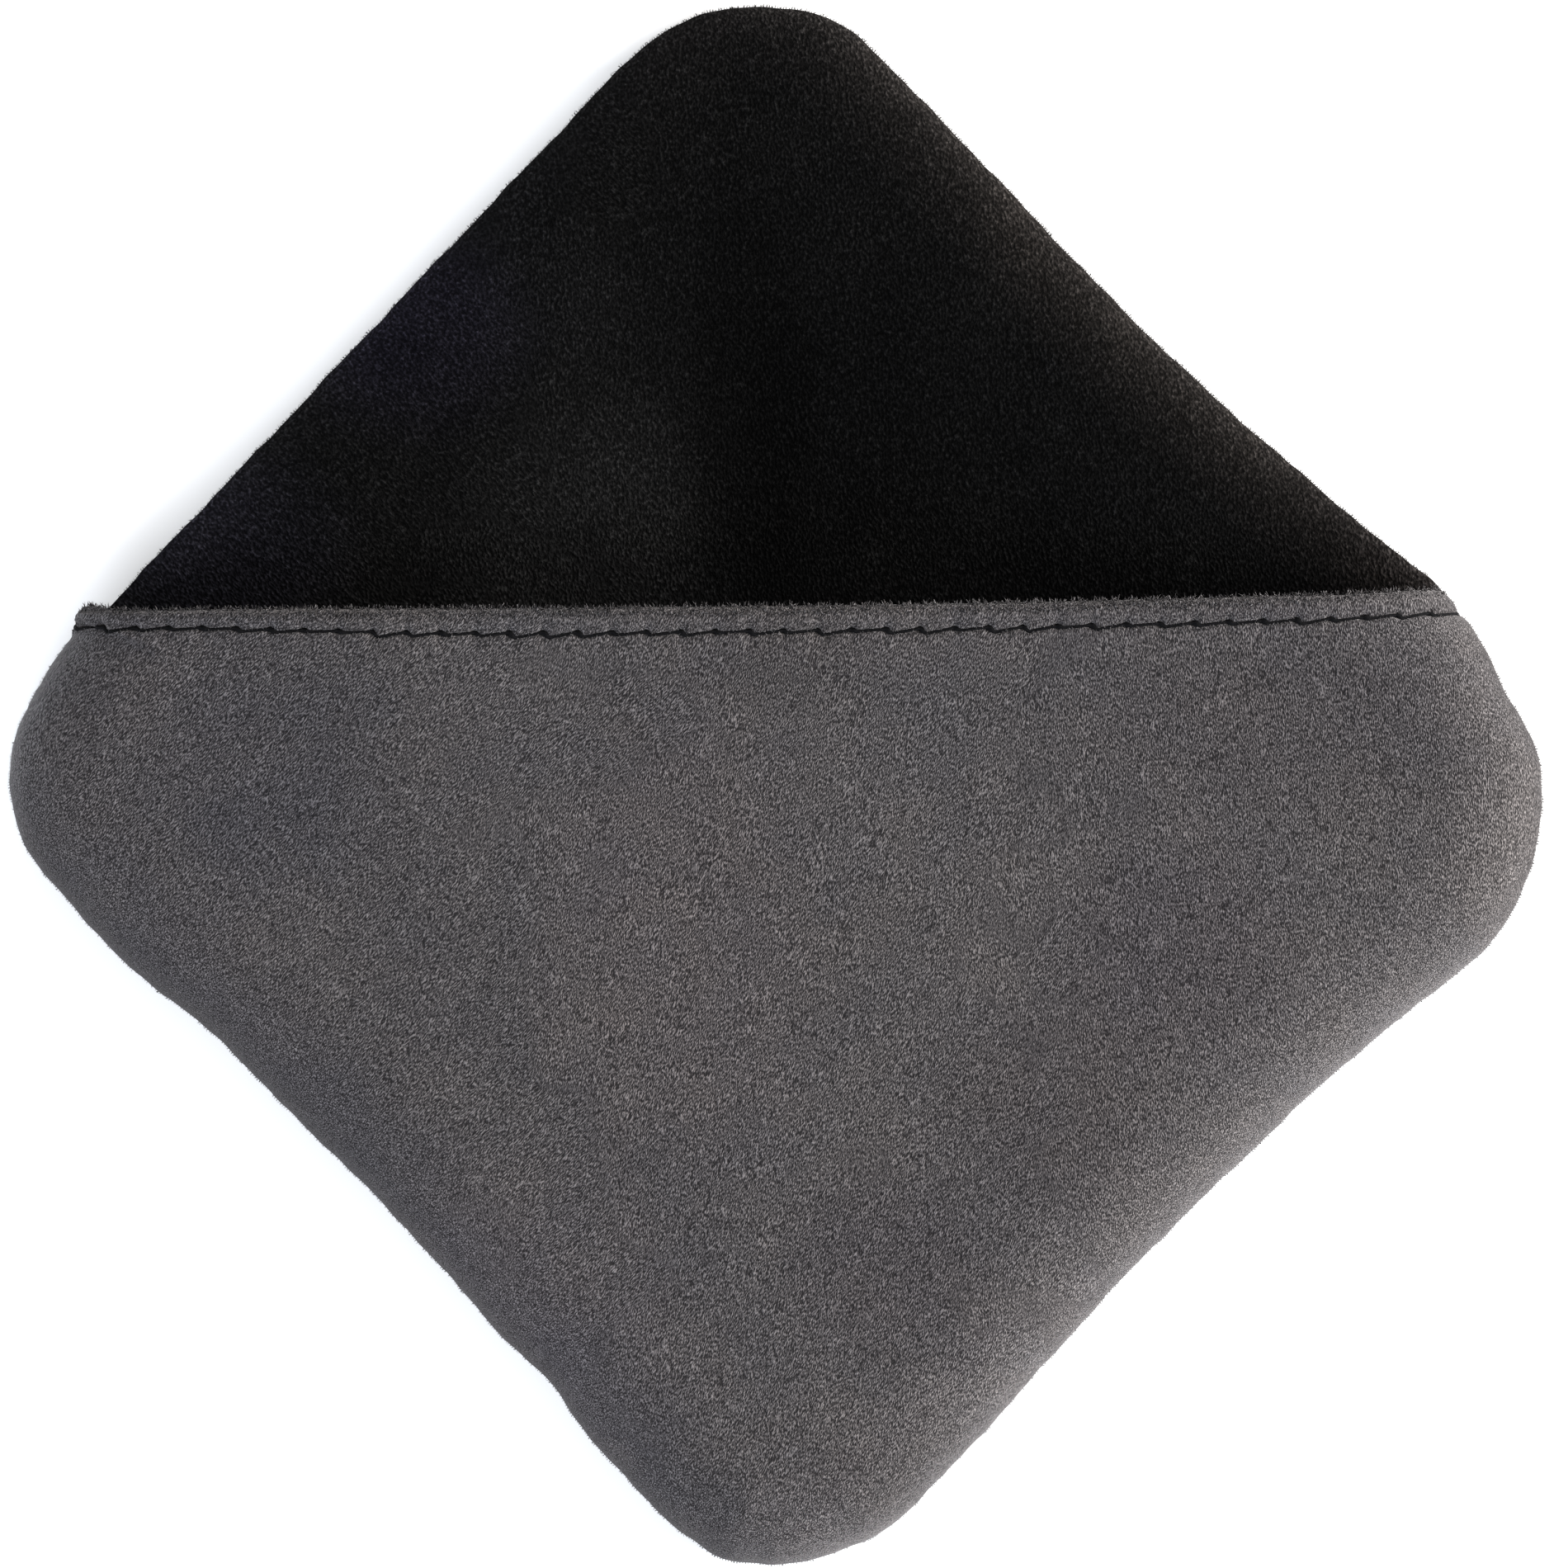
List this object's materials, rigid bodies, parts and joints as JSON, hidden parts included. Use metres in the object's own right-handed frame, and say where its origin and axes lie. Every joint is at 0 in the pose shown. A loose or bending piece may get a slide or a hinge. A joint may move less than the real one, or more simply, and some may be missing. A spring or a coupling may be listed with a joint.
{
  "type": "screen cleaning cloth",
  "caption": "Soft square screen cleaning cloth with a black plush back and a grey microsuede finger pocket; its free corner folds forward over the pocket's hemmed mouth.",
  "frame": {"origin": "under the middle of the whole object, on the rear face that it lies on", "axes": "+Z out of the pocket side, +Y towards the free corner above the mouth, +X to the right as the picture shows it"},
  "size_m": [0.1356, 0.138, 0.0116],
  "materials": {
    "black_plush": "short dense pile, very dark and matt",
    "grey_suede": "brushed microsuede nap, matt",
    "black_thread": "spun polyester sewing thread"
  },
  "bodies": {
    "mitt": {"rear_panel": "black_plush", "lining_panel": "black_plush", "pocket_panel": "grey_suede", "hem_needle_thread": "black_thread", "hem_bobbin_thread": "black_thread", "edge_needle_thread": "black_thread", "edge_bobbin_thread": "black_thread"},
    "free_corner": {"rear_panel_corner": "black_plush", "lining_panel_corner": "black_plush", "corner_needle_thread": "black_thread", "corner_bobbin_thread": "black_thread"}
  },
  "joints": [
    {"name": "corner_fold", "type": "hinge", "parent": "mitt", "child": "free_corner", "pos_m": [0, 0.01822, 0.0072], "axis": [1, 0, 0], "range_deg": [0, 165]}
  ]
}
